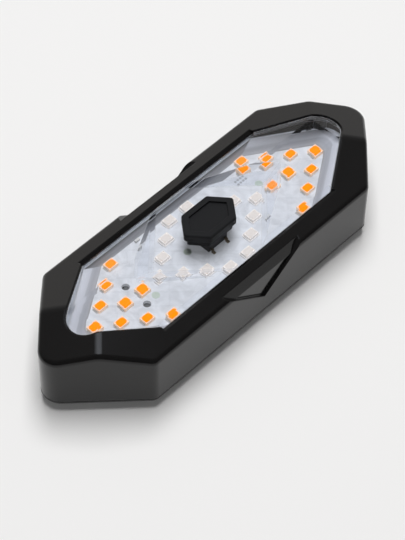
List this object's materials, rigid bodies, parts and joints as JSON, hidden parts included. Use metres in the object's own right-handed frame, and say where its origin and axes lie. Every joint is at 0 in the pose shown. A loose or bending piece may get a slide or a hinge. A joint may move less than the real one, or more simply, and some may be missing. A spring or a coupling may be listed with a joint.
{
  "type": "bicycle turn signal light",
  "caption": "Bicycle turn signal light: a long black hexagonal case with a clear faceted lens, amber arrows at both ends, a ring of lamps and a hexagonal push button.",
  "frame": {"origin": "centre of the lamp at the face of the back plate that it rests on", "axes": "+X along the lamp to its right-hand tip, +Y across it to the side with the charging socket, +Z out through the lens"},
  "size_m": [0.131, 0.045, 0.0276],
  "materials": {
    "shell_black": "gloss",
    "cover_black": "fine texture",
    "button_black": "satin",
    "lens_clear": "clear",
    "rubber_black": "matte",
    "board_white": "satin solder mask",
    "led_case": "satin",
    "led_amber": "satin resin",
    "led_cream": "satin resin",
    "switch_plastic": "matte",
    "steel": "satin",
    "leg_brass": "dull",
    "chip_black": "matte",
    "tin": "satin",
    "ceramic_tan": "matte",
    "ceramic_white": "matte",
    "board_green": "satin",
    "cell_silver": "satin foil",
    "foam_grey": "matte",
    "wire_red": "satin",
    "wire_black": "satin",
    "plug_white": "satin",
    "screw_zinc": "plated"
  },
  "bodies": {
    "housing": {"amber_leds_left": "led_case", "amber_leds_right": "led_case", "amber_windows_left": "led_amber", "amber_windows_right": "led_amber", "back_cover": "cover_black", "back_screws": "screw_zinc", "battery_board": "board_green", "battery_cell": "cell_silver", "battery_header": "plug_white", "battery_lead_minus": "wire_black", "battery_lead_plus": "wire_red", "battery_pad": "foam_grey", "battery_plug": "plug_white", "button_collar": "rubber_black", "capacitors": "ceramic_tan", "case_seal": "rubber_black", "controller_chip": "chip_black", "controller_legs": "tin", "crystal": "tin", "driver_chips": "chip_black", "front_shell": "shell_black", "led_board": "board_white", "lens": "lens_clear", "lens_gasket": "rubber_black", "receiver_antenna": "ceramic_white", "receiver_board": "board_green", "receiver_can": "tin", "resistors": "ceramic_white", "ring_leds": "led_case", "ring_windows": "led_cream", "switch_body": "switch_plastic", "switch_cover": "steel", "switch_dome": "steel", "switch_legs": "leg_brass", "usb_shell": "steel", "usb_tongue": "chip_black"},
    "button": {"button_cap": "button_black", "switch_plunger": "switch_plastic"},
    "socket_cover": {"usb_cover": "rubber_black"}
  },
  "joints": [
    {"name": "button_press", "type": "slide", "parent": "housing", "child": "button", "axis": [0, 0, -1], "range_m": [0, 0.0005], "stiffness_N_per_m": 1500, "springref_m": -0.0007},
    {"name": "cover_swing", "type": "hinge", "parent": "housing", "child": "socket_cover", "pos_m": [0.03, 0.02195, 0.0123], "axis": [-1, 0, 0], "range_deg": [0, 90]}
  ]
}
